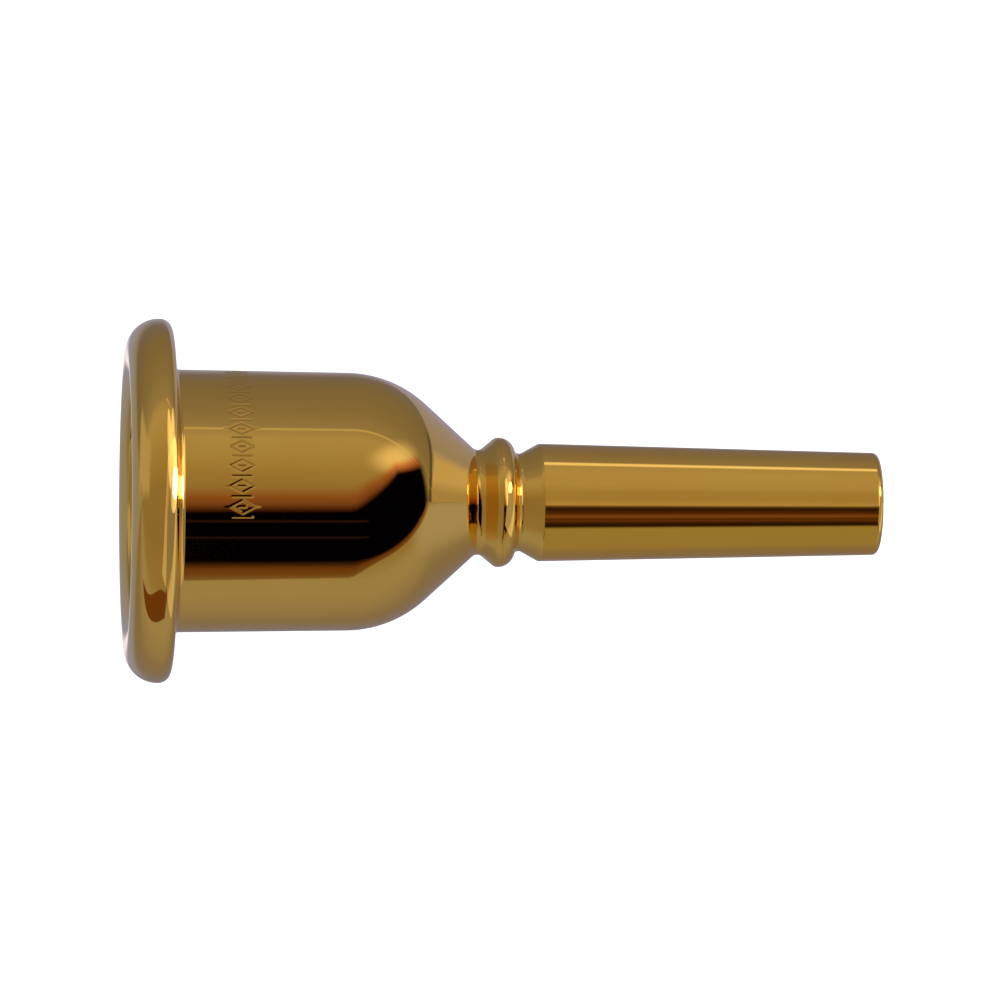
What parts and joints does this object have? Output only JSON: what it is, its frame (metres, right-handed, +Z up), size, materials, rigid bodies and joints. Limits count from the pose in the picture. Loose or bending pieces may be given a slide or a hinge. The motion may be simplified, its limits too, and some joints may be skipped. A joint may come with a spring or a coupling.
{
  "type": "brass instrument mouthpiece",
  "caption": "Cup mouthpiece for a low brass instrument: rounded screw-on rim, deep bowl, beaded neck and tapered shank.",
  "frame": {"origin": "centre of the end face of the shank, at the small end of the taper that goes into the instrument", "axes": "+X along the bore, out of the shank into the instrument; +Z up when the mouthpiece is held level; the rim faces -X"},
  "size_m": [0.081, 0.039, 0.039],
  "materials": {
    "gold_plate": "polished gold plate over brass"
  },
  "bodies": {
    "shank": {"shank": "gold_plate"},
    "cup": {"cup": "gold_plate"},
    "rim": {"rim": "gold_plate"}
  },
  "joints": [
    {"name": "cup_unscrew", "type": "slide", "parent": "shank", "child": "cup", "axis": [-1, 0, 0], "range_m": [0, 0.015]},
    {"name": "rim_unscrew", "type": "slide", "parent": "cup", "child": "rim", "axis": [-1, 0, 0], "range_m": [0, 0.012]}
  ]
}
